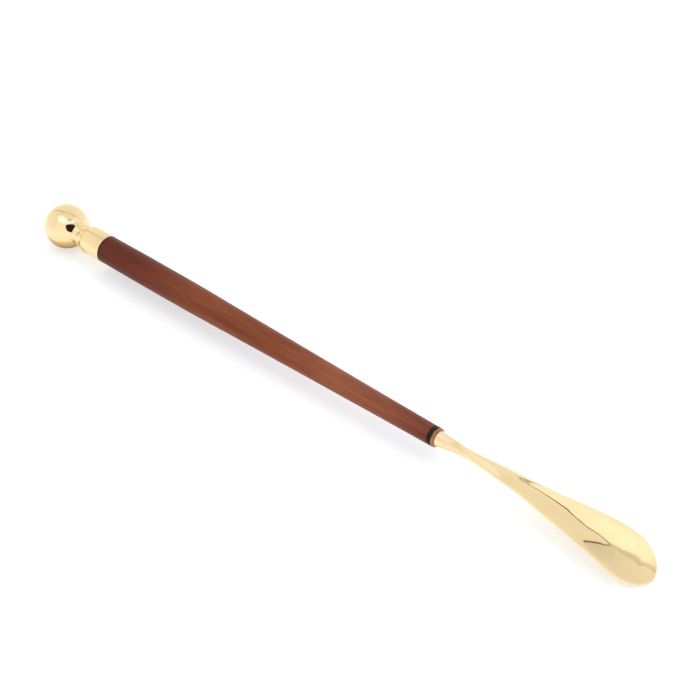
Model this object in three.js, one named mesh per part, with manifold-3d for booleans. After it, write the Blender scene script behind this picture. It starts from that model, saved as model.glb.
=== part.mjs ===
// A long shoehorn: a brass ball knob, a tapered wooden shaft and a brass blade that unscrews.
// Millimetres, +Z up. X runs along the shaft from the knob to the blade's tip, and Y across the blade.
// It lies on the surface z = 0, on the ball and on the blade's tip, and the origin is the middle of its
// footprint. Lengths along the shaft are counted from the centre of the ball.
import * as THREE from "three";
import { mergeVertices } from "three/addons/utils/BufferGeometryUtils.js";
import Module from "manifold-3d";

const wasm = await Module();
wasm.setup();

// Driving dimensions
const BALL_RADIUS = 17.5;
const TIP = 563; // ball centre to the end of the blade
const GAP = 0.3; // clearance between pieces that meet
const SIDES = 40; // flats round a turned piece

const KNOB_STUD_RADIUS = 4; // M8
const KNOB_STUD_START = -6;
const KNOB_STUD_END = 48;
const BLADE_STUD_RADIUS = 3; // M6
const BLADE_STUD_START = 365;
const BLADE_STUD_END = 393;
const STUD_CHAMFER = 0.8;

const COLLAR_SEAT_RADIUS = 8.9; // outer edge of the hollow face that the ball sits in
const COLLAR_BEAD = { centre: 20.4, radius: 7.8, size: 1.4 };
const COLLAR_FLANGE_RADIUS = 9.8;

const FERRULE_START = 27.5;
const FERRULE_END = 47.6;
const FERRULE_RADIUS = 11.2;
const FERRULE_WALL = 1.2;
const FERRULE_FLOOR = 2;
const FERRULE_ROUND = 1.2;
const EDGE_BREAK = 0.3; // the small chamfer on a sharp rim

const SHAFT_END = 377.2;
const UPPER_INSERT_LENGTH = 20;
const UPPER_INSERT_RADIUS = 6.5;
const LOWER_INSERT_LENGTH = 22;
const LOWER_INSERT_RADIUS = 4.8;
const INSERT_ROUND = 0.4;

const RING_RADIUS = 7.2;
const RING_ROUND = 0.5;
const BLACK_RING_LENGTH = 3.4;
const COPPER_RING_LENGTH = 2.3;
const COPPER_RING_SIDE = 1.2; // its outer wall, before the sloping face
const COPPER_RING_NOSE = 5.6; // outer radius where it meets the blade

const SOCKET_DEPTH = 9.5; // the blade's bore for its stud
const TIP_ROUND = 24.5; // length of the rounded end of the blade
const TIP_POWER = 1.86; // 2 makes that end half an ellipse
const TIP_SHARE = 0.985; // how much of that end's quarter turn is kept, leaving a small flat
const OVERCUT = 1; // how far a cutting rod stands out of the face it opens

// [distance from the ball's centre, radius] pairs of the neck's outside, before and after its bead
const COLLAR_UPPER_COVE = [
  [16.6, 8.7],
  [17.7, 8.35],
  [18.8, 8.4],
];
const COLLAR_LOWER_COVE = [
  [22.2, 8.45],
  [22.9, 8.4],
  [24.8, 8.75],
  [26.1, 9.4],
  [26.7, 9.8],
];

// [distance from the ball's centre, value] pairs, joined by a smooth curve
const SHAFT_RADIUS = [
  [47, 10.7],
  [90, 10.9],
  [134, 10.75],
  [189, 9.9],
  [267, 8.65],
  [337, 7.65],
  [378, 7.15],
];
const BLADE_START = SHAFT_END + BLACK_RING_LENGTH + COPPER_RING_LENGTH + 3 * GAP;
const BLADE_HALF_WIDTH = [
  [BLADE_START, 5.6],
  [395, 4.5],
  [403, 3.7],
  [410, 3.35],
  [421, 4.4],
  [438, 6.6],
  [455, 8.2],
  [475, 11.1],
  [495, 14.6],
  [515, 18],
  [537, 20.2],
  [580, 21.6],
];
const BLADE_HALF_THICKNESS = [
  [BLADE_START, 5.6],
  [395, 4.5],
  [403, 3.7],
  [410, 3.35],
  [421, 3.1],
  [438, 2.5],
  [455, 2],
  [475, 1.5],
  [510, 1.1],
  [TIP, 0.8],
];
const BLADE_CROWN = [
  [BLADE_START, 23.3],
  [395, 22.8],
  [403, 22.2],
  [410, 21.9],
  [421, 21.8],
  [438, 21.95],
  [455, 22.3],
  [475, 22.8],
  [495, 22.6],
  [515, 21.2],
  [530, 18.7],
  [541, 15.4],
  [552, 9.2],
  [TIP, 1.6],
];
// how far the edges of a section hang below its middle
const BLADE_DROP = [
  [421, 0],
  [438, 0.9],
  [455, 2.2],
  [485, 4.7],
  [510, 4.9],
  [530, 4.3],
  [TIP, 3.8],
];
// 2 makes a section an ellipse, and more makes it a sheet with rounded edges
const BLADE_SECTION_POWER = [
  [421, 2],
  [455, 2.4],
  [475, 3],
  [510, 3.6],
];

const brass = { color: 0xe8c27a, roughness: 0.12, metalness: 1 };
const steel = { color: 0xb9bcc0, roughness: 0.35, metalness: 1 };
const insertBrass = { color: 0xc9a45c, roughness: 0.4, metalness: 1 };
const copper = { color: 0xb06a3a, roughness: 0.2, metalness: 1 };
const wood = { color: 0x6e2f1e, roughness: 0.35, metalness: 0 };
const blackHorn = { color: 0x1d1512, roughness: 0.3, metalness: 0 };

// A smooth curve through [x, value] pairs that doesn't overshoot them; beyond the ends it stays level.
function along(pairs, x) {
  const last = pairs.length - 1;
  if (x <= pairs[0][0]) return pairs[0][1];
  if (x >= pairs[last][0]) return pairs[last][1];
  const i = pairs.findIndex((pair) => pair[0] > x) - 1;
  const [x0, y0] = pairs[i];
  const [x1, y1] = pairs[i + 1];
  const width = x1 - x0;
  const t = (x - x0) / width;
  const s0 = slopeAt(pairs, i) * width;
  const s1 = slopeAt(pairs, i + 1) * width;
  const bend = (2 * t - 3) * t * t;
  return y0 * (1 + bend) - y1 * bend + s0 * t * (1 - t) ** 2 - s1 * t * t * (1 - t);
}

// The curve's slope at a pair: the harmonic mean of the two chords' slopes, and level at a turning point.
function slopeAt(pairs, i) {
  const chord = (k) => (pairs[k + 1][1] - pairs[k][1]) / (pairs[k + 1][0] - pairs[k][0]);
  if (i === 0) return chord(0);
  if (i === pairs.length - 1) return chord(i - 1);
  const before = chord(i - 1);
  const after = chord(i);
  return before * after <= 0 ? 0 : (2 * before * after) / (before + after);
}

// Points of an arc round [x, radius], from one angle to another in degrees, where 0 points along +X.
function arc(x, radius, size, from, to, steps) {
  const points = [];
  for (let i = 0; i <= steps; i += 1) {
    const angle = THREE.MathUtils.degToRad(from + ((to - from) * i) / steps);
    points.push([x + size * Math.cos(angle), radius + size * Math.sin(angle)]);
  }
  return points;
}

const root = new THREE.Group();
root.position.set(-(TIP - BALL_RADIUS) / 2, 0, 0);
const axis = new THREE.Group(); // the shaft's centre line
axis.position.z = BALL_RADIUS;
root.add(axis);

function addMesh(parent, name, geometry, look) {
  const mesh = new THREE.Mesh(geometry, new THREE.MeshStandardMaterial(look));
  mesh.name = name;
  parent.add(mesh);
}

// A turned piece: [x, radius] points that run from the axis, over the outside, back to the axis, or a loop.
function turned(points) {
  const profile = points.map(([x, radius]) => new THREE.Vector2(radius, x));
  return new THREE.LatheGeometry(profile, SIDES).rotateZ(-Math.PI / 2);
}

function addTurned(name, points, look) {
  addMesh(axis, name, turned(points), look);
}

// A sleeve with rounded outer corners.
function sleeve(start, end, inner, outer, round) {
  const loop = [
    [start, inner],
    ...arc(start + round, outer - round, round, 180, 90, 3),
    ...arc(end - round, outer - round, round, 90, 0, 3),
    [end, inner],
  ];
  return [...loop, loop[0]];
}

// A plain stud with chamfered ends.
function stud(start, end, radius) {
  const chamfer = STUD_CHAMFER;
  return [
    [start, 0],
    [start, radius - chamfer],
    [start + chamfer, radius],
    [end - chamfer, radius],
    [end, radius - chamfer],
    [end, 0],
  ];
}

// The solid ball, with a blind bore for the knob's stud.
function ballKnob() {
  const bore = KNOB_STUD_RADIUS + GAP;
  const mouth = THREE.MathUtils.radToDeg(Math.asin(bore / BALL_RADIUS));
  return [
    ...arc(0, 0, BALL_RADIUS, 180, 90, 10),
    ...arc(0, 0, BALL_RADIUS, 90, mouth, 8).slice(1),
    [KNOB_STUD_START - GAP, bore],
    [KNOB_STUD_START - GAP, 0],
  ];
}

// The turned neck between the ball and the ferrule: a seat for the ball, a cove, a bead and a flange.
function neckCollar() {
  const bore = KNOB_STUD_RADIUS + GAP;
  const seat = BALL_RADIUS + GAP;
  const end = FERRULE_START - GAP;
  const edge = (radius) => THREE.MathUtils.radToDeg(Math.asin(radius / seat));
  const { centre, radius, size } = COLLAR_BEAD;
  const loop = [
    ...arc(0, 0, seat, edge(bore), edge(COLLAR_SEAT_RADIUS), 4),
    ...COLLAR_UPPER_COVE,
    ...arc(centre, radius, size, 155, 25, 7),
    ...COLLAR_LOWER_COVE,
    [end, COLLAR_FLANGE_RADIUS],
    [end, bore],
  ];
  return [...loop, loop[0]];
}

// The brass cup that covers the top of the shaft.
function ferrule() {
  const bore = KNOB_STUD_RADIUS + GAP;
  const inner = FERRULE_RADIUS - FERRULE_WALL;
  const loop = [
    [FERRULE_START, bore],
    ...arc(FERRULE_START + FERRULE_ROUND, FERRULE_RADIUS - FERRULE_ROUND, FERRULE_ROUND, 180, 90, 5),
    [FERRULE_END - EDGE_BREAK, FERRULE_RADIUS],
    [FERRULE_END, FERRULE_RADIUS - EDGE_BREAK],
    [FERRULE_END, inner],
    [FERRULE_START + FERRULE_FLOOR, inner],
    [FERRULE_START + FERRULE_FLOOR, bore],
  ];
  return [...loop, loop[0]];
}

// The copper ring: a short outer wall, then a face that slopes down to the blade.
function copperRing(start) {
  const end = start + COPPER_RING_LENGTH;
  const bore = BLADE_STUD_RADIUS + GAP;
  const loop = [
    [start, bore],
    [start, RING_RADIUS - EDGE_BREAK],
    [start + EDGE_BREAK, RING_RADIUS],
    [start + COPPER_RING_SIDE, RING_RADIUS],
    [end - EDGE_BREAK, COPPER_RING_NOSE + EDGE_BREAK],
    [end, COPPER_RING_NOSE],
    [end, bore],
  ];
  return [...loop, loop[0]];
}

// The wooden shaft: a tenon inside the ferrule, a taper, and a bore in each end.
function shaft() {
  const top = FERRULE_START + FERRULE_FLOOR + GAP;
  const tenon = FERRULE_RADIUS - FERRULE_WALL - GAP;
  const shoulder = FERRULE_END + GAP;
  const steps = 14;
  const outside = [
    [top, 0],
    [top, tenon],
    [shoulder, tenon],
  ];
  for (let i = 0; i <= steps; i += 1) {
    const x = shoulder + ((SHAFT_END - shoulder) * i) / steps;
    outside.push([x, along(SHAFT_RADIUS, x)]);
  }
  outside.push([SHAFT_END, 0]);
  const upperFloor = top + UPPER_INSERT_LENGTH + 2 * GAP;
  const lowerFloor = SHAFT_END - LOWER_INSERT_LENGTH - 2 * GAP;
  return {
    outside,
    upper: [top - OVERCUT, upperFloor, UPPER_INSERT_RADIUS + GAP],
    lower: [lowerFloor, SHAFT_END + OVERCUT, LOWER_INSERT_RADIUS + GAP],
  };
}

// One section of the blade at x: a loop of points, over the top from +Y to -Y and back underneath.
function bladeSection(x, points) {
  const fullWidth = along(BLADE_HALF_WIDTH, x);
  const intoTip = Math.max(0, (x - (TIP - TIP_ROUND)) / TIP_ROUND);
  const width = fullWidth * (1 - intoTip ** TIP_POWER) ** (1 / TIP_POWER);
  const thickness = along(BLADE_HALF_THICKNESS, x);
  const power = along(BLADE_SECTION_POWER, x);
  const middle = along(BLADE_CROWN, x) - thickness;
  const drop = along(BLADE_DROP, x);
  const loop = [];
  for (let i = 0; i < points; i += 1) {
    const angle = (2 * Math.PI * i) / points;
    const across = Math.sign(Math.cos(angle)) * Math.abs(Math.cos(angle)) ** (2 / power);
    const up = Math.sign(Math.sin(angle)) * Math.abs(Math.sin(angle)) ** (2 / power);
    const y = across * width;
    const hang = drop * (y / fullWidth) ** 2;
    loop.push([x, y, middle - hang + up * thickness]);
  }
  return loop;
}

// A closed skin over a row of sections with the same number of points.
function loft(sections) {
  const count = sections[0].length;
  const position = sections.flat();
  const index = [];
  for (let s = 0; s + 1 < sections.length; s += 1) {
    for (let i = 0; i < count; i += 1) {
      const a = s * count + i;
      const b = s * count + ((i + 1) % count);
      index.push(a, b, a + count, b, b + count, a + count);
    }
  }
  const lastStart = (sections.length - 1) * count;
  for (let i = 1; i + 1 < count; i += 1) {
    index.push(0, i + 1, i);
    index.push(lastStart, lastStart + i, lastStart + i + 1);
  }
  const geometry = new THREE.BufferGeometry();
  geometry.setAttribute("position", new THREE.Float32BufferAttribute(position.flat(), 3));
  geometry.setIndex(index);
  return geometry;
}

// The cast blade: a round stem that flattens into a hollow horn with a turned-down tip.
function bladeCasting() {
  const stemSteps = 34;
  const tipSteps = 12;
  const pointsRound = 28;
  const tipStart = TIP - TIP_ROUND;
  const sections = [];
  for (let i = 0; i < stemSteps; i += 1) {
    sections.push(bladeSection(BLADE_START + ((tipStart - BLADE_START) * i) / stemSteps, pointsRound));
  }
  for (let i = 0; i <= tipSteps; i += 1) {
    const angle = (TIP_SHARE * (Math.PI / 2) * i) / tipSteps;
    sections.push(bladeSection(tipStart + TIP_ROUND * Math.sin(angle), pointsRound));
  }
  return loft(sections);
}

function solidOf(geometry) {
  const plain = geometry.clone();
  plain.deleteAttribute("normal");
  plain.deleteAttribute("uv");
  const merged = mergeVertices(plain);
  return new wasm.Manifold(
    new wasm.Mesh({
      numProp: 3,
      vertProperties: merged.attributes.position.array,
      triVerts: new Uint32Array(merged.index.array),
    }),
  );
}

// The first geometry without the space of the others.
function cut(geometry, ...holes) {
  let solid = solidOf(geometry);
  for (const hole of holes) solid = solid.subtract(solidOf(hole));
  const mesh = solid.getMesh();
  const result = new THREE.BufferGeometry();
  result.setAttribute("position", new THREE.Float32BufferAttribute(mesh.vertProperties, 3));
  result.setIndex(new THREE.BufferAttribute(new Uint32Array(mesh.triVerts), 1));
  return result;
}

function rod(start, end, radius) {
  return turned([
    [start, 0],
    [start, radius],
    [end, radius],
    [end, 0],
  ]);
}

const boreForBladeStud = BLADE_STUD_RADIUS + GAP;
const boreForKnobStud = KNOB_STUD_RADIUS + GAP;
const shaftTop = FERRULE_START + FERRULE_FLOOR + GAP;
const upperInsertStart = shaftTop + GAP;
const upperInsertEnd = upperInsertStart + UPPER_INSERT_LENGTH;
const lowerInsertEnd = SHAFT_END - GAP;
const lowerInsertStart = lowerInsertEnd - LOWER_INSERT_LENGTH;
const blackStart = SHAFT_END + GAP;
const blackEnd = blackStart + BLACK_RING_LENGTH;

addTurned("ball_knob", ballKnob(), brass);
addTurned("neck_collar", neckCollar(), brass);
addTurned("knob_stud", stud(KNOB_STUD_START, KNOB_STUD_END, KNOB_STUD_RADIUS), steel);
addTurned("ferrule", ferrule(), brass);

const wooden = shaft();
const shaftBody = cut(turned(wooden.outside), rod(...wooden.upper), rod(...wooden.lower));
addMesh(axis, "handle_shaft", shaftBody, wood);

addTurned(
  "upper_insert",
  sleeve(upperInsertStart, upperInsertEnd, boreForKnobStud, UPPER_INSERT_RADIUS, INSERT_ROUND),
  insertBrass,
);
addTurned(
  "lower_insert",
  sleeve(lowerInsertStart, lowerInsertEnd, boreForBladeStud, LOWER_INSERT_RADIUS, INSERT_ROUND),
  insertBrass,
);
addTurned("black_ring", sleeve(blackStart, blackEnd, boreForBladeStud, RING_RADIUS, RING_ROUND), blackHorn);
addTurned("copper_ring", copperRing(blackEnd + GAP), copper);
addTurned("blade_stud", stud(BLADE_STUD_START, BLADE_STUD_END, BLADE_STUD_RADIUS), steel);

const socket = rod(BLADE_START - OVERCUT, BLADE_START + SOCKET_DEPTH, boreForBladeStud);
socket.translate(0, 0, BALL_RADIUS);
addMesh(root, "blade", cut(bladeCasting(), socket), brass);

export default root;
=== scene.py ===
"""A long shoehorn on a white table: brass ball knob, mahogany shaft, two rings and a brass blade."""

import math

import bpy
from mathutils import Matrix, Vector


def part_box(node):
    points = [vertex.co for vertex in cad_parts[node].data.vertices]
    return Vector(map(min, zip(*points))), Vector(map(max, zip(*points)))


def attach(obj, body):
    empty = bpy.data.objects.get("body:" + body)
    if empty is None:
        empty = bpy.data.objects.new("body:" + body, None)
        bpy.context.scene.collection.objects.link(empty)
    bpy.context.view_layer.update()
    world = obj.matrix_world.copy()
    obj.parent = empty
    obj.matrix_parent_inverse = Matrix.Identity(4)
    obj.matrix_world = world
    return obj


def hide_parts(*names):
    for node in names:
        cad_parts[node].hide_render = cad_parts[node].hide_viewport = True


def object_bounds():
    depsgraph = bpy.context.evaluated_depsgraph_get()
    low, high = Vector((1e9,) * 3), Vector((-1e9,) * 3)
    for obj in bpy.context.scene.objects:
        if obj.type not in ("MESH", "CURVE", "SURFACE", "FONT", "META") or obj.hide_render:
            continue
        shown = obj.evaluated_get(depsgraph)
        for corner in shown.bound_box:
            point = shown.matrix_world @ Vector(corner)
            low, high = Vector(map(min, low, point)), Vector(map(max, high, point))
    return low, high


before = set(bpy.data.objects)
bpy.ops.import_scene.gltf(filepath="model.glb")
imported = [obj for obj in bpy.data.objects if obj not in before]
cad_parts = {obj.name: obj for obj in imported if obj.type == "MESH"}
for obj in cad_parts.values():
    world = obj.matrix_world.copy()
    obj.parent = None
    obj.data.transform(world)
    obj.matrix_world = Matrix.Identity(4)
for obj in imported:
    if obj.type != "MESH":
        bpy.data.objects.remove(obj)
cad_low, cad_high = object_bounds()

MM = 0.001
TINY = 1e-6
scene = bpy.context.scene

# Where things are, from the CAD boxes. Lengths along the shaft are in millimetres from the ball's centre.
ball_low, ball_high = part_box("ball_knob")
BALL_RADIUS = (ball_high.y - ball_low.y) / 2 / MM
AXIS_HEIGHT = (ball_high.z + ball_low.z) / 2 / MM
BALL_X = ball_low.x / MM + BALL_RADIUS


def station(x):
    """An x of the frame, in metres, as a length from the ball's centre in millimetres."""
    return x / MM - BALL_X


def span(node):
    low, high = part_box(node)
    return station(low.x), station(high.x)


def radius_of(node):
    low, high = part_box(node)
    return (high.y - low.y) / 2 / MM


FERRULE_START, FERRULE_END = span("ferrule")
SHAFT_END = span("handle_shaft")[1]
BLACK_START = span("black_ring")[0]
COPPER_START, COPPER_END = span("copper_ring")
BLADE_START, TIP = span("blade")
FERRULE_RADIUS = radius_of("ferrule")
RING_RADIUS = radius_of("black_ring")
KNOB_STUD_RADIUS = radius_of("knob_stud")
BLADE_STUD_RADIUS = radius_of("blade_stud")
SLIT = 0.03  # between pieces that touch on the real object
BORE_GAP = 0.1  # between a stud and the bore that it goes through
SEGMENTS = 160  # round a turned piece

# The neck between the ball and the cup, and the cup, as (length, radius) pairs and radii.
NECK_SEAT_RADIUS = 8.9
NECK_UPPER_COVE = [(16.6, 8.7), (17.4, 8.42), (18.2, 8.3), (18.9, 8.36)]
NECK_BEAD = (20.4, 7.8, 1.4)  # length and radius of its centre, then its own radius
NECK_LOWER_COVE = [
    (22.1, 8.45), (22.9, 8.4), (23.8, 8.5), (24.8, 8.75), (25.7, 9.15), (26.4, 9.6), (26.9, 9.8),
]
NECK_FLANGE_RADIUS = 9.8
CUP_WALL, CUP_FLOOR, CUP_ROUND = 1.2, 2.0, 1.2

# The shaft and the blade, as (length, size) pairs joined by smooth curves.
SHAFT_RADIUS = [(47, 10.7), (90, 10.9), (134, 10.75), (189, 9.9), (267, 8.65), (337, 7.65), (378, 7.15)]
BLADE_HALF_WIDTH = [
    (BLADE_START, 5.6), (395, 4.5), (403, 3.7), (410, 3.35), (421, 4.4), (438, 6.6), (455, 8.2),
    (475, 11.1), (495, 14.6), (515, 18), (537, 20.2), (580, 21.6),
]
BLADE_HALF_THICKNESS = [
    (BLADE_START, 5.6), (395, 4.5), (403, 3.7), (410, 3.35), (421, 3.1), (438, 2.5), (455, 2),
    (475, 1.5), (510, 1.1), (TIP, 0.8),
]
BLADE_CROWN = [
    (BLADE_START, 23.3), (395, 22.8), (403, 22.2), (410, 21.9), (421, 21.8), (438, 21.95), (455, 22.3),
    (475, 22.8), (495, 22.6), (515, 21.2), (530, 18.7), (541, 15.4), (552, 9.2), (TIP, 1.6),
]
BLADE_DROP = [(421, 0), (438, 0.9), (455, 2.2), (485, 4.7), (510, 4.9), (530, 4.3), (TIP, 3.8)]
BLADE_SECTION_POWER = [(421, 2), (455, 2.4), (475, 3), (510, 3.6)]
TIP_ROUND = 24.5  # the length over which the blade's outline rounds off
TIP_POWER = 1.86  # 2 would make the tip an ellipse
TIP_SHARE = 0.985  # how far round its quarter turn the tip goes before a small flat end
INSIDE_THE_CASTING = 0.999  # keeps the finer blade within the width of the coarser CAD blade
SOCKET_DEPTH = 9.5


def chord(pairs, k):
    return (pairs[k + 1][1] - pairs[k][1]) / (pairs[k + 1][0] - pairs[k][0])


def slope_at(pairs, i):
    """The slope of the smooth curve at a pair, level at a turning point."""
    last = len(pairs) - 1
    if i == 0:
        return chord(pairs, 0)
    if i == last:
        return chord(pairs, last - 1)
    before, after = chord(pairs, i - 1), chord(pairs, i)
    return 0 if before * after <= 0 else 2 * before * after / (before + after)


def along(pairs, x):
    """A smooth curve through the pairs that doesn't overshoot them."""
    if x <= pairs[0][0]:
        return pairs[0][1]
    if x >= pairs[-1][0]:
        return pairs[-1][1]
    i = max(k for k in range(len(pairs) - 1) if pairs[k][0] <= x)
    (x0, y0), (x1, y1) = pairs[i], pairs[i + 1]
    width = x1 - x0
    t = (x - x0) / width
    bend = (2 * t - 3) * t * t
    s0, s1 = slope_at(pairs, i) * width, slope_at(pairs, i + 1) * width
    return y0 * (1 + bend) - y1 * bend + s0 * t * (1 - t) ** 2 - s1 * t * t * (1 - t)


def arc(x, radius, size, start, end, steps):
    """Points of an arc round (x, radius), where 0 degrees points along the shaft towards the blade."""
    points = []
    for i in range(steps + 1):
        angle = math.radians(start + (end - start) * i / steps)
        points.append((x + size * math.cos(angle), radius + size * math.sin(angle)))
    return points


def softened(points, size, steps=4):
    """The same closed profile with every corner rounded off over the given length."""
    nearly_straight, largest_share = math.radians(165), 0.45
    result = []
    for i, corner in enumerate(points):
        here = Vector(corner)
        before = Vector(points[i - 1]) - here
        after = Vector(points[(i + 1) % len(points)]) - here
        if before.length < TINY or after.length < TINY or before.angle(after) > nearly_straight:
            result.append(corner)
            continue
        start = here + before.normalized() * min(size, before.length * largest_share)
        end = here + after.normalized() * min(size, after.length * largest_share)
        for k in range(steps + 1):
            t = k / steps
            result.append(tuple(start * (1 - t) ** 2 + here * 2 * t * (1 - t) + end * t * t))
    return result


def make_object(name, vertices, faces, material, crease=38):
    mesh = bpy.data.meshes.new(name)
    mesh.from_pydata([Vector(v) * MM for v in vertices], [], faces)
    mesh.validate()
    mesh.shade_smooth()
    mesh.set_sharp_from_angle(angle=math.radians(crease))
    mesh.materials.append(material)
    obj = bpy.data.objects.new(name, mesh)
    scene.collection.objects.link(obj)
    return obj


def ring_point(x, radius, turn):
    return (BALL_X + x, radius * math.cos(turn), AXIS_HEIGHT + radius * math.sin(turn))


def turned(name, points, material, closed=True):
    """A solid of revolution about the shaft's axis. An open profile starts and ends on the axis."""
    vertices, faces, rows = [], [], []
    for x, radius in points:
        if radius < TINY:
            rows.append([len(vertices)] * SEGMENTS)
            vertices.append((BALL_X + x, 0, AXIS_HEIGHT))
        else:
            rows.append(list(range(len(vertices), len(vertices) + SEGMENTS)))
            vertices += [ring_point(x, radius, 2 * math.pi * k / SEGMENTS) for k in range(SEGMENTS)]
    following_rows = rows[1:] + rows[:1] if closed else rows[1:]
    for row, following in zip(rows, following_rows):
        for k in range(SEGMENTS):
            n = (k + 1) % SEGMENTS
            corners = [row[k], following[k], following[n], row[n]]
            face = [c for i, c in enumerate(corners) if c != corners[i - 1]]
            if len(face) > 2:
                faces.append(face)
    return make_object(name, vertices, faces, material)


def threaded(name, start, end, radius, pitch, material):
    """A stud with a helical thread, its ends chamfered over the lead-in."""
    segments, steps_per_turn = 72, 10
    steps = int((end - start) / pitch * steps_per_turn)
    depth, lead_in = 0.6 * pitch, 0.9
    root_share, flank_share = 0.06, 0.36
    vertices, faces = [], []
    for i in range(steps + 1):
        x = start + (end - start) * i / steps
        ends = min(x - start, end - x) / lead_in
        crest = radius - depth * max(0, 1 - ends)
        for k in range(segments):
            phase = (x / pitch + k / segments) % 1
            flank = min(1, max(0, (abs(phase - 0.5) - root_share) / flank_share))
            vertices.append(ring_point(x, min(crest, radius - depth * flank), 2 * math.pi * k / segments))
    for i in range(steps):
        for k in range(segments):
            n = (k + 1) % segments
            faces.append([i * segments + k, (i + 1) * segments + k, (i + 1) * segments + n, i * segments + n])
    faces.append(list(range(segments)))
    faces.append(list(range(steps * segments, (steps + 1) * segments))[::-1])
    return make_object(name, vertices, faces, material, crease=25)


# Materials
def nodes_of(name):
    material = bpy.data.materials.new(name)
    material.use_nodes = True
    tree = material.node_tree
    return material, tree, tree.nodes["Principled BSDF"]


def add(tree, kind, **settings):
    node = tree.nodes.new(kind)
    for key, value in settings.items():
        if key in node.inputs:
            node.inputs[key].default_value = value
        else:
            setattr(node, key, value)
    return node


def coordinates(tree, scale):
    """The piece's own coordinates, stretched by a scale for each axis."""
    source = add(tree, "ShaderNodeTexCoord")
    mapping = add(tree, "ShaderNodeMapping", Scale=scale)
    tree.links.new(source.outputs["Object"], mapping.inputs["Vector"])
    return mapping.outputs["Vector"]


def noise(tree, vector, scale, detail=6, roughness=0.6, distortion=0):
    node = add(tree, "ShaderNodeTexNoise", Scale=scale, Detail=detail, Roughness=roughness)
    node.inputs["Distortion"].default_value = distortion
    tree.links.new(vector, node.inputs["Vector"])
    return node.outputs["Fac"]


def ramp(tree, fac, stops):
    node = add(tree, "ShaderNodeValToRGB")
    elements = node.color_ramp.elements
    for i, (position, colour) in enumerate(stops):
        element = elements[i] if i < 2 else elements.new(position)
        element.position = position
        element.color = (*colour, 1)
    tree.links.new(fac, node.inputs["Fac"])
    return node.outputs["Color"]


def levels(tree, fac, low, high, out_low, out_high):
    """The value between low and high, brought to the range between the other two."""
    node = add(tree, "ShaderNodeMapRange")
    node.inputs["From Min"].default_value = low
    node.inputs["From Max"].default_value = high
    node.inputs["To Min"].default_value = out_low
    node.inputs["To Max"].default_value = out_high
    tree.links.new(fac, node.inputs["Value"])
    return node.outputs["Result"]


def mixed(tree, fac, a, b, mode="MIX"):
    """Two colours mixed. Each argument is a socket, a number or a colour."""
    node = add(tree, "ShaderNodeMix", data_type="RGBA", blend_type=mode)
    factor_input, first_colour, second_colour, colour_output = 0, 6, 7, 2
    for value, index in ((fac, factor_input), (a, first_colour), (b, second_colour)):
        socket = node.inputs[index]
        if isinstance(value, bpy.types.NodeSocket):
            tree.links.new(value, socket)
        elif isinstance(value, (int, float)):
            socket.default_value = value
        else:
            socket.default_value = (*value, 1)
    return node.outputs[colour_output]


def bumped(tree, shader, *heights):
    """Layers of bump, each a height with its distance in millimetres."""
    normal = None
    for height, distance in heights:
        node = add(tree, "ShaderNodeBump", Strength=1.0, Distance=distance * MM)
        tree.links.new(height, node.inputs["Height"])
        if normal:
            tree.links.new(normal, node.inputs["Normal"])
        normal = node.outputs["Normal"]
    tree.links.new(normal, shader.inputs["Normal"])


def polished_metal(name, light, dark, roughness, scratch=0.0006, wave=0.004):
    """Polished cast or turned metal: slow waviness, hairline scratches and faint tarnish."""
    material, tree, shader = nodes_of(name)
    shader.inputs["Metallic"].default_value = 1
    fine = coordinates(tree, (60, 900, 900))
    wide = coordinates(tree, (30, 45, 45))
    smudge = noise(tree, wide, 1.4, detail=5)
    tint = ramp(tree, smudge, [(0.3, dark), (0.62, light)])
    tree.links.new(tint, shader.inputs["Base Color"])
    hairlines = noise(tree, fine, 1.5, detail=8, roughness=0.75)
    wear = levels(tree, hairlines, 0.35, 0.75, roughness * 0.8, roughness * 1.5)
    tree.links.new(wear, shader.inputs["Roughness"])
    bumped(tree, shader, (noise(tree, wide, 1.0, detail=1), wave), (hairlines, scratch))
    return material


def lengthwise(tree, start, end):
    """From 0 to 1 between two lengths from the ball's centre."""
    place = add(tree, "ShaderNodeTexCoord")
    split = add(tree, "ShaderNodeSeparateXYZ")
    tree.links.new(place.outputs["Object"], split.inputs[0])
    return levels(tree, split.outputs["X"], (BALL_X + start) * MM, (BALL_X + end) * MM, 0, 1)


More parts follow.
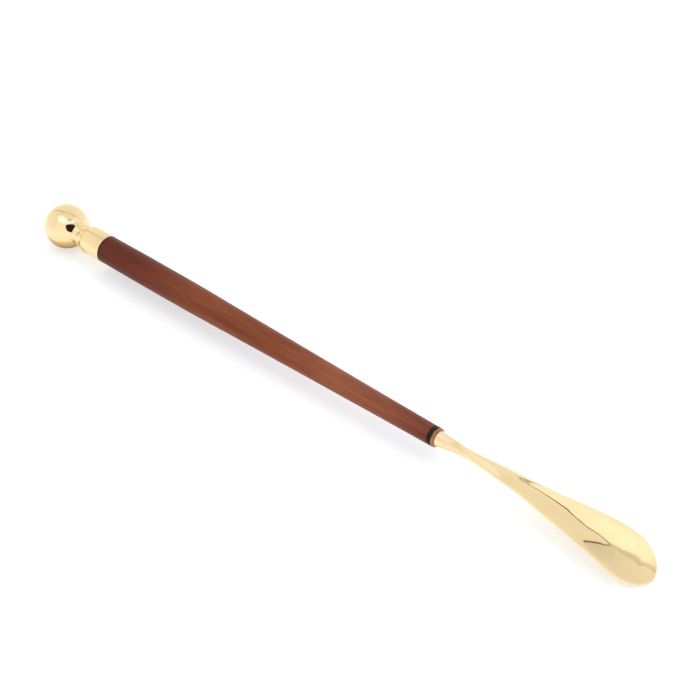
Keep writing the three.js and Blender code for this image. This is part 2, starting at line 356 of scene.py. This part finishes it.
def mahogany():
    """Stained mahogany with lengthwise figure, open pores and a thin satin lacquer."""
    material, tree, shader = nodes_of("mahogany")
    stain = ramp(tree, lengthwise(tree, FERRULE_END, SHAFT_END), [
        (0.000, (0.045, 0.008, 0.004)),
        (0.008, (0.130, 0.021, 0.006)),
        (0.130, (0.145, 0.024, 0.007)),
        (0.300, (0.215, 0.048, 0.013)),
        (0.560, (0.250, 0.056, 0.016)),
        (0.740, (0.310, 0.085, 0.034)),
        (0.880, (0.260, 0.070, 0.029)),
        (1.000, (0.190, 0.044, 0.018)),
    ])
    figure = noise(tree, coordinates(tree, (5, 70, 70)), 2.2, detail=7, roughness=0.6, distortion=0.5)
    shade = ramp(tree, figure, [(0.28, (0.70, 0.66, 0.64)), (0.5, (1, 1, 1)), (0.75, (1.28, 1.35, 1.4))])
    tint = mixed(tree, 1.0, stain, shade, "MULTIPLY")
    streaks = noise(tree, coordinates(tree, (14, 420, 420)), 1.6, detail=5, roughness=0.7)
    streaked = mixed(tree, levels(tree, streaks, 0.4, 0.75, 0, 0.4), tint, (0.085, 0.014, 0.008))
    pores = noise(tree, coordinates(tree, (60, 1500, 1500)), 1.1, detail=2)
    pore_mask = levels(tree, pores, 0.60, 0.72, 0, 0.6)
    tree.links.new(mixed(tree, pore_mask, streaked, (0.035, 0.007, 0.005)), shader.inputs["Base Color"])
    tree.links.new(levels(tree, streaks, 0.3, 0.7, 0.34, 0.5), shader.inputs["Roughness"])
    shader.inputs["Specular IOR Level"].default_value = 0.1
    shader.inputs["Coat Weight"].default_value = 0.06
    shader.inputs["Coat Roughness"].default_value = 0.14
    bumped(tree, shader, (pore_mask, -0.02), (streaks, 0.01))
    return material


def tarnished_copper_painted_light():
    """A tarnished copper ring, with painted highlights on its rim's corner and sloping front and painted dark
    bands between them.
    """
    material, tree, shader = nodes_of("tarnished_copper_painted_light")
    shader.inputs["Metallic"].default_value = 1
    # Painted light along the ring: a painted highlight on the rim's corner, a painted dark band behind it, a
    # thin painted highlight on the sloping front, then darker towards the blade.
    tarnish = ramp(tree, lengthwise(tree, COPPER_START, COPPER_END), [
        (0.00, (0.95, 0.62, 0.42)),
        (0.22, (0.95, 0.60, 0.42)),
        (0.29, (0.20, 0.075, 0.035)),
        (0.48, (0.24, 0.090, 0.042)),
        (0.56, (0.70, 0.36, 0.20)),
        (0.66, (0.34, 0.145, 0.070)),
        (1.00, (0.44, 0.200, 0.100)),
    ])
    smudge = noise(tree, coordinates(tree, (120, 120, 120)), 3, detail=5)
    dark = levels(tree, smudge, 0.35, 0.7, 0, 0.45)
    tree.links.new(mixed(tree, dark, tarnish, (0.16, 0.06, 0.03)), shader.inputs["Base Color"])
    tree.links.new(levels(tree, smudge, 0.3, 0.7, 0.1, 0.28), shader.inputs["Roughness"])
    bumped(tree, shader, (noise(tree, coordinates(tree, (900, 200, 200)), 2, detail=6), 0.001))
    return material


def black_horn():
    """Dark polished horn with brown streaks."""
    material, tree, shader = nodes_of("black_horn")
    streaks = noise(tree, coordinates(tree, (300, 120, 120)), 1.5, detail=6)
    tint = ramp(tree, streaks, [(0.4, (0.014, 0.008, 0.002)), (0.75, (0.050, 0.026, 0.008))])
    tree.links.new(tint, shader.inputs["Base Color"])
    tree.links.new(levels(tree, streaks, 0.3, 0.7, 0.2, 0.32), shader.inputs["Roughness"])
    shader.inputs["Specular IOR Level"].default_value = 0.1
    bumped(tree, shader, (noise(tree, coordinates(tree, (500, 900, 900)), 1.2), 0.004))
    return material


BRASS = polished_metal("polished_brass", (0.94, 0.745, 0.425), (0.91, 0.70, 0.385), 0.05)
BRASS_MACHINED = polished_metal("machined_brass", (0.80, 0.60, 0.30), (0.66, 0.46, 0.20), 0.32, scratch=0.003)
COPPER = tarnished_copper_painted_light()
STEEL = polished_metal("zinc_steel", (0.62, 0.64, 0.66), (0.48, 0.50, 0.53), 0.3, scratch=0.002)
WOOD = mahogany()
HORN = black_horn()


def placed(obj, body, node):
    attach(obj, body)
    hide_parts(node)


# Pieces
def ball():
    bore = KNOB_STUD_RADIUS + BORE_GAP
    mouth = math.degrees(math.asin(bore / BALL_RADIUS))
    depth = span("knob_stud")[0] - BORE_GAP
    points = arc(0, 0, BALL_RADIUS, 180, mouth, 110) + [(depth, bore), (depth, 0)]
    points[0] = (-BALL_RADIUS, 0)  # exactly on the axis
    placed(turned("ball", points, BRASS, closed=False), "handle", "ball_knob")


def collar():
    """The neck: a seat turned to the ball, a cove, a bead, a second cove and a flange."""
    bore = KNOB_STUD_RADIUS + BORE_GAP
    seat = BALL_RADIUS + SLIT
    end = FERRULE_START - SLIT
    inner = math.degrees(math.asin(bore / seat))
    outer = math.degrees(math.asin(NECK_SEAT_RADIUS / seat))
    points = arc(0, 0, seat, inner, outer, 8)
    points += NECK_UPPER_COVE + arc(*NECK_BEAD, 155, 25, 14) + NECK_LOWER_COVE
    points += [(end, NECK_FLANGE_RADIUS), (end, bore)]
    placed(turned("collar", softened(points, 0.15), BRASS), "handle", "neck_collar")


def cup():
    """The ferrule: a deep cup with a rounded shoulder."""
    bore = KNOB_STUD_RADIUS + BORE_GAP
    inner, floor = FERRULE_RADIUS - CUP_WALL, FERRULE_START + CUP_FLOOR
    bevel_length, bevel_depth = 0.35, 0.2
    points = [(FERRULE_START, bore)]
    points += arc(FERRULE_START + CUP_ROUND, FERRULE_RADIUS - CUP_ROUND, CUP_ROUND, 180, 90, 14)
    points += [(FERRULE_END - bevel_length, FERRULE_RADIUS), (FERRULE_END, FERRULE_RADIUS - bevel_depth)]
    points += [(FERRULE_END, inner), (floor, inner), (floor, bore)]
    placed(turned("cup", softened(points, 0.12), BRASS), "handle", "ferrule")


def wooden_shaft():
    """The taper, its tenon in the cup and a bore in each end."""
    top = FERRULE_START + CUP_FLOOR + SLIT
    tenon = FERRULE_RADIUS - CUP_WALL - SLIT
    upper = radius_of("upper_insert") + SLIT
    lower = radius_of("lower_insert") + SLIT
    shoulder = FERRULE_END + SLIT
    steps, past_insert = 150, 0.3
    points = [(top, upper), (top, tenon), (shoulder, tenon)]
    end = BLACK_START - SLIT
    for i in range(steps + 1):
        x = shoulder + (end - shoulder) * i / steps
        points.append((x, along(SHAFT_RADIUS, x)))
    lower_floor = span("lower_insert")[0] - past_insert
    upper_floor = span("upper_insert")[1] + past_insert
    points += [(end, lower), (lower_floor, lower), (lower_floor, 0), (upper_floor, 0), (upper_floor, upper)]
    placed(turned("shaft_wood", softened(points, 0.18), WOOD), "handle", "handle_shaft")


def insert(name, node, bore):
    """A brass sleeve with turned grooves, pressed into the wood."""
    start, end = span(node)
    radius = radius_of(node)
    groove_depth, groove_spacing, bevel = 0.4, 2.2, 0.5
    groove = radius - groove_depth
    points = [(start, bore + bevel), (start, groove)]
    x = start + bevel
    while x < end - 2:
        points += [(x, radius), (x + 1.3, radius), (x + 1.5, groove), (x + 1.9, groove)]
        x += groove_spacing
    points += [(end - 0.8, radius), (end, radius - 0.3), (end, bore + bevel)]
    points += [(end - bevel, bore), (start + bevel, bore)]
    placed(turned(name, softened(points, 0.1), BRASS_MACHINED), "handle", node)


def rings():
    """The black ring, and the copper ring that narrows towards the blade."""
    bore = BLADE_STUD_RADIUS + BORE_GAP
    end = COPPER_START - SLIT
    black = [(BLACK_START, bore), (BLACK_START, RING_RADIUS), (end, RING_RADIUS), (end, bore)]
    placed(turned("spacer_black", softened(black, 0.3, 6), HORN), "rings", "black_ring")
    end = BLADE_START - SLIT
    rim_end, nose = COPPER_START + 1.2, 5.6
    copper = [
        (COPPER_START, bore), (COPPER_START, RING_RADIUS - 0.45), (COPPER_START + 0.3, RING_RADIUS - 0.08),
        (rim_end, RING_RADIUS - 0.1), (rim_end + 0.5, RING_RADIUS - 0.5),
        (end - 0.3, nose + 0.2), (end, nose), (end, bore),
    ]
    placed(turned("spacer_copper", softened(copper, 0.2, 5), COPPER), "rings", "copper_ring")


def blade_section(x, count):
    """One section of the blade: points over the top from +Y to -Y and back underneath."""
    full = along(BLADE_HALF_WIDTH, x)
    into_tip = max(0, (x - (TIP - TIP_ROUND)) / TIP_ROUND)
    width = full * (1 - into_tip**TIP_POWER) ** (1 / TIP_POWER) * INSIDE_THE_CASTING
    thickness = along(BLADE_HALF_THICKNESS, x)
    power = along(BLADE_SECTION_POWER, x)
    middle = along(BLADE_CROWN, x) - thickness
    drop = along(BLADE_DROP, x)
    points = []
    for i in range(count):
        angle = 2 * math.pi * i / count
        across = math.copysign(abs(math.cos(angle)) ** (2 / power), math.cos(angle))
        up = math.copysign(abs(math.sin(angle)) ** (2 / power), math.sin(angle))
        y = across * width
        points.append((BALL_X + x, y, middle - drop * (y / full) ** 2 + up * thickness))
    return points


def blade():
    """The cast blade: a round stem with a socket for its stud, flattening into the hollow horn."""
    count, stem_steps, tip_steps = 112, 300, 60
    tip_start, quarter_turn = TIP - TIP_ROUND, math.pi / 2
    stations = [BLADE_START + (tip_start - BLADE_START) * i / stem_steps for i in range(stem_steps)]
    for i in range(tip_steps + 1):
        stations.append(tip_start + TIP_ROUND * math.sin(TIP_SHARE * quarter_turn * i / tip_steps))
    bore = BLADE_STUD_RADIUS + BORE_GAP
    rows = []
    for x in (BLADE_START + SOCKET_DEPTH, BLADE_START):
        rows.append([ring_point(x, bore, 2 * math.pi * k / count) for k in range(count)])
    rows += [blade_section(x, count) for x in stations]
    vertices = [v for row in rows for v in row]
    faces = []
    for s in range(len(rows) - 1):
        for k in range(count):
            n = (k + 1) % count
            faces.append([s * count + k, s * count + n, (s + 1) * count + n, (s + 1) * count + k])
    faces.append(list(range(count))[::-1])
    faces.append(list(range((len(rows) - 1) * count, len(rows) * count)))
    placed(make_object("blade_brass", vertices, faces, BRASS, crease=50), "blade", "blade")


def studs():
    """The M8 stud under the ball and the M6 stud in the blade, with their standard pitches."""
    upper = threaded("stud_upper", *span("knob_stud"), KNOB_STUD_RADIUS, 1.25, STEEL)
    placed(upper, "handle", "knob_stud")
    lower = threaded("stud_lower", *span("blade_stud"), BLADE_STUD_RADIUS, 1.0, STEEL)
    placed(lower, "blade", "blade_stud")


ball()
collar()
cup()
wooden_shaft()
insert("insert_upper", "upper_insert", KNOB_STUD_RADIUS + BORE_GAP)
insert("insert_lower", "lower_insert", BLADE_STUD_RADIUS + BORE_GAP)
rings()
blade()
studs()


# Table and light. Cards are placed by azimuth, elevation and distance from what reflects them.
DOME = 5.0  # metres to the walls and ceiling of the light tent
WHITE = (1, 1, 1)
LINE_BROWN = (1, 0.85, 0.6)
BLADE_CENTRE = Vector((0.215, 0, 0.022))
BALL_CENTRE = Vector((BALL_X * MM, 0, AXIS_HEIGHT * MM))


def direction(azimuth, elevation):
    """A unit vector, azimuth from +X towards +Y, both in degrees."""
    a, e = math.radians(azimuth), math.radians(elevation)
    return Vector((math.cos(a) * math.cos(e), math.sin(a) * math.cos(e), math.sin(e)))


def placed_at(corner, centre):
    """The place at an (azimuth, elevation, distance) from a centre."""
    azimuth, elevation, distance = corner
    return centre + direction(azimuth, elevation) * distance


def glow(name, colour):
    """A light whose strength is the mesh's own attribute."""
    material = bpy.data.materials.new(name)
    material.use_nodes = True
    tree = material.node_tree
    tree.nodes.remove(tree.nodes["Principled BSDF"])
    emission = add(tree, "ShaderNodeEmission", Color=(*colour, 1))
    brightness = add(tree, "ShaderNodeAttribute", attribute_name="brightness")
    tree.links.new(brightness.outputs["Fac"], emission.inputs["Strength"])
    tree.links.new(emission.outputs[0], tree.nodes["Material Output"].inputs["Surface"])
    return material


def reflected_only(name, vertices, faces, colour, strengths):
    """A glowing card that shows in polished metal and nowhere else, with a strength for each vertex."""
    mesh = bpy.data.meshes.new(name)
    mesh.from_pydata(vertices, [], faces)
    mesh.attributes.new("brightness", "FLOAT", "POINT").data.foreach_set("value", strengths)
    mesh.materials.append(glow(name, colour))
    obj = bpy.data.objects.new(name, mesh)
    scene.collection.objects.link(obj)
    obj.visible_camera = False
    obj.visible_diffuse = False
    obj.visible_shadow = False


def between(ends, share):
    """The value at a share of the way from one end to the other."""
    return ends[0] + (ends[1] - ends[0]) * share


def grid_faces(across, along_rows):
    """The faces of a grid whose rows hold one vertex more than the faces across it."""
    faces = []
    for i in range(along_rows):
        for k in range(across):
            a = i * (across + 1) + k
            faces.append((a, a + 1, a + across + 2, a + across + 1))
    return faces


def wall(name, azimuths, elevations, strengths, distance=DOME):
    """A piece of the tent between two azimuths and two elevations, with a strength at each elevation."""
    across, up = 24, 16
    vertices, values = [], []
    for i in range(up + 1):
        for k in range(across + 1):
            vertices.append(direction(between(azimuths, k / across), between(elevations, i / up)) * distance)
            values.append(between(strengths, i / up))
    reflected_only(name, vertices, grid_faces(across, up), WHITE, values)


def canopy(name, ends, angles, radius, strengths, colour):
    """A curved card over the shaft, with a strength at each end, that fades out at its sides."""
    across, length, fade, faded_strength = 24, 12, 7, 0.95
    vertices, values = [], []
    for i in range(length + 1):
        for k in range(across + 1):
            angle = math.radians(between(angles, k / across))
            height = AXIS_HEIGHT * MM + radius * math.sin(angle)
            vertices.append((between(ends, i / length), radius * math.cos(angle), height))
            kept = min(1, k / fade, (across - k) / fade)
            values.append(between((faded_strength, between(strengths, i / length)), kept))
    reflected_only(name, vertices, grid_faces(across, length), colour, values)


def seam(name, path, width, strengths, colour, centre):
    """A strip of the given width in degrees along a path, with a strength in its middle and at its sides."""
    steps = 6
    points = []
    for start, end in zip(path, path[1:]):
        points += [placed_at(start, Vector()).lerp(placed_at(end, Vector()), t / steps) for t in range(steps)]
    points.append(placed_at(path[-1], Vector()))
    half = math.tan(math.radians(width / 2))
    vertices, faces = [], []
    for i, point in enumerate(points):
        run = points[min(i + 1, len(points) - 1)] - points[max(i - 1, 0)]
        side = point.cross(run).normalized() * half * point.length
        vertices += [centre + point - side, centre + point, centre + point + side]
    for i in range(len(points) - 1):
        for k in (0, 1):
            faces.append((3 * i + k, 3 * i + k + 1, 3 * i + k + 4, 3 * i + k + 3))
    middle, edge = strengths
    reflected_only(name, vertices, faces, colour, [edge, middle, edge] * len(points))


def fan(name, middle, outline, strength, edges, colour, centre):
    """A card with the given outline, with a strength in its middle and one for each corner."""
    vertices = [placed_at(corner, centre) for corner in [middle] + outline]
    count = len(outline)
    faces = [(0, 1 + i, 1 + (i + 1) % count) for i in range(count)]
    reflected_only(name, vertices, faces, colour, [strength] + edges)


def at_distance(pairs, distance):
    """A path or outline from (azimuth, elevation) pairs at one distance."""
    return [(azimuth, elevation, distance) for azimuth, elevation in pairs]


def table():
    """A white table that glows a little, so that shadows on it stay light."""
    mesh = bpy.data.meshes.new("table")
    half, below = 4.0, 0.0002
    corners = [(-half, -half, 0), (half, -half, 0), (half, half, 0), (-half, half, 0)]
    mesh.from_pydata(corners, [], [(0, 1, 2, 3)])
    obj = bpy.data.objects.new("table", mesh)
    scene.collection.objects.link(obj)
    material, tree, shader = nodes_of("table_white")
    shader.inputs["Base Color"].default_value = (0.70, 0.71, 0.72, 1)
    shader.inputs["Emission Color"].default_value = (0.97, 0.98, 1.0, 1)
    shader.inputs["Emission Strength"].default_value = 0.42
    shader.inputs["Roughness"].default_value = 0.9
    shader.inputs["Specular IOR Level"].default_value = 0.1
    mesh.materials.append(material)
    obj.location.z = cad_low.z - below


def light_tent():
    """White walls that the polished brass reflects."""
    sides = (2, 74)
    wall("back_wall", (50, 172), sides, (1.04, 0.92))
    wall("left_wall", (172, 250), sides, (1.04, 0.9))
    wall("right_wall", (-10, 50), sides, (1.08, 0.96))
    wall("ceiling", (0, 360), (58, 90), (0.95, 0.92), distance=DOME * 1.02)
    wall("front_wall", (-110, -10), sides, (1.1, 1.0))
    wall("horizon", (20, 220), (-1, 2), (0.75, 0.85), distance=DOME * 0.95)


def window():
    """A bright window close behind the blade, with a dark frame on its left and top and a soft right edge."""
    foot = [
        (116.9, 3, 0.398), (118, 2.6, 0.411), (120.2, 2.1, 0.434), (122.5, 12.4, 0.457), (124.9, 22.5, 0.478),
        (130.4, 34.2, 0.498), (130.9, 35.7, 0.516), (133, 39.4, 0.533),
    ]
    top = [
        (133, 39.4, 0.533), (130.8, 45.6, 0.585), (130.4, 50, 0.619), (131.6, 59.9, 0.694), (127, 64.4, 0.84),
        (103.8, 64.2, 1.09), (97.8, 64.2, 1.49), (78.9, 64.9, 2.2),
    ]
    right = [
        (75.4, 61.6), (56.6, 50.8), (52.4, 40.5), (53, 34.3), (55.1, 30.6), (63.3, 21.3), (70.7, 11.7),
        (76, 2),
    ]
    outline = foot + top[1:] + at_distance(right, 2.5)
    fan("window", (95, 34, 0.55), outline, 1.26, [1.12] * len(outline), WHITE, BLADE_CENTRE)
    in_front = 0.97
    for name, side, width, dark in (("frame_foot", foot, 0.35, 0.15), ("frame_top", top, 2.2, 0.1)):
        path = [(azimuth, elevation, distance * in_front) for azimuth, elevation, distance in side]
        seam(name, path, width, (dark, dark), LINE_BROWN, BLADE_CENTRE)


def blade_cards():
    """The duller side that the blade's tip faces, and the dark line that bounds it."""
    vee = [(-147.9, 70.5), (-170.6, 78.4), (148.9, 81.5), (102.7, 76.7), (80, 66.4)]
    ridge = [(69.5, 61), (58, 54), (51.5, 46.5), (49, 39), (49, 33), (51, 27), (54, 20), (57, 11)]
    low = [(60, 3), (20, 4), (-30, 30), (-90, 60)]
    seam("seam_vee", at_distance(vee, 0.68), 1.3, (0.12, 0.12), LINE_BROWN, BLADE_CENTRE)
    seam("ridge", at_distance(vee[-1:] + ridge, 0.69), 10, (0.7, 0.93), (1, 0.97, 0.9), BLADE_CENTRE)
    edges = [0.74] * len(vee) + [0.86] * len(ridge) + [1.0] * len(low)
    fan("dull_side", (15, 65, 0.7), at_distance(vee + ridge + low, 0.7), 0.84, edges, WHITE, BLADE_CENTRE)


def ball_cards():
    """What the ball reflects: a bright card, the photographer's dark shape and the tent's seams."""
    bright = [(-20, 44), (-50, 40), (-105, 40), (-145, 52), (-135, 78), (-60, 80), (-20, 64)]
    bright_card = at_distance(bright, 0.31)
    bluish = (0.97, 1.02, 1.2)
    fan("bright_card", (-75, 57, 0.31), bright_card, 1.7, [1.0] * len(bright), bluish, BALL_CENTRE)
    shape = [(-46, 38), (-20, 41), (4, 30), (6, 16), (-5, 5), (-13, -3), (-27, 0), (-40, 9), (-46, 26)]
    person = at_distance(shape, 0.25)
    fan("person", (-21, 20, 0.25), person, 0.02, [0.03] * len(shape), (0.9, 0.7, 0.4), BALL_CENTRE)
    arch = [
        (47, 8), (52, 19), (53, 39), (58, 54), (74, 66), (88, 75), (120, 76), (150, 73), (172, 66), (173, 48),
        (173, 30),
    ]
    seam("ball_arch", at_distance(arch, 0.3), 3, (0.45, 0.85), LINE_BROWN, BALL_CENTRE)
    line = [(168, 66), (171, 48), (174, 28), (174, 14)]
    cup_centre = BALL_CENTRE + Vector((0.04, 0, 0))
    seam("cup_seam", at_distance(line, 0.6), 5, (0.68, 0.95), LINE_BROWN, cup_centre)


def ball_shade():
    """The dark patch on the table that the ball's underside reflects."""
    under, inner, outer, step = Vector((BALL_CENTRE.x, 0, 0.0006)), 0.008, 0.027, 15
    azimuths = range(0, 361, step)
    vertices = [placed_at((azimuth, 0, radius), under) for radius in (inner, outer) for azimuth in azimuths]
    count = len(azimuths)
    faces = [(i, i + 1, count + i + 1, count + i) for i in range(count - 1)]
    reflected_only("ball_shade", vertices, faces, (1, 0.84, 0.62), [0.3] * count + [1.0] * count)


def stem_cards():
    """A bright curved card over the end of the shaft, with slats, as the blade's stem sees it."""
    canopy("canopy", (-0.11, 0.04), (46, 142), 0.22, (1.4, 1.04), (0.97, 1.02, 1.2))
    half_width = 3
    for i, angle in enumerate((62, 96, 128)):
        sides = (angle - half_width, angle + half_width)
        canopy("slat_%d" % i, (-0.11, 0.03), sides, 0.215, (0.75, 0.98), (0.97, 0.97, 0.85))


def surroundings():
    """The light from everywhere around the tent."""
    world = bpy.data.worlds.new("studio")
    scene.world = world
    world.use_nodes = True
    background = world.node_tree.nodes["Background"]
    background.inputs["Color"].default_value = (0.94, 0.97, 1.0, 1)
    background.inputs["Strength"].default_value = 1.0


def key_light():
    """A large soft light behind the object, which metal doesn't reflect."""
    data = bpy.data.lights.new("key", "AREA")
    data.shape = "RECTANGLE"
    data.size, data.size_y = 2.2, 2.2
    data.energy = 6
    data.color = (1.0, 0.98, 0.95)
    key = bpy.data.objects.new("key", data)
    scene.collection.objects.link(key)
    key.location = (0.35, 0.75, 1.9)
    key.rotation_mode = "QUATERNION"
    key.rotation_quaternion = (-key.location).to_track_quat("-Z", "Y")
    key.visible_glossy = False


def viewpoint():
    """The camera, at the photograph's viewing angle."""
    azimuth, elevation, distance = -47.15, 37, 1.5
    data = bpy.data.cameras.new("camera")
    camera = bpy.data.objects.new("camera", data)
    scene.collection.objects.link(camera)
    middle = (cad_low + cad_high) / 2
    aim = Vector((middle.x - 0.0168, middle.y + 0.0491, cad_low.z))
    back = direction(azimuth, elevation)
    camera.location = aim + back * distance
    camera.rotation_mode = "QUATERNION"
    camera.rotation_quaternion = (-back).to_track_quat("-Z", "Y")
    data.sensor_width = 36
    data.lens = 105.5
    data.shift_x, data.shift_y = -0.0007, 0.0007
    data.clip_start, data.clip_end = 0.05, 50
    scene.camera = camera


table()
light_tent()
window()
blade_cards()
ball_cards()
ball_shade()
stem_cards()
surroundings()
key_light()
viewpoint()
scene.view_settings.view_transform = "Standard"
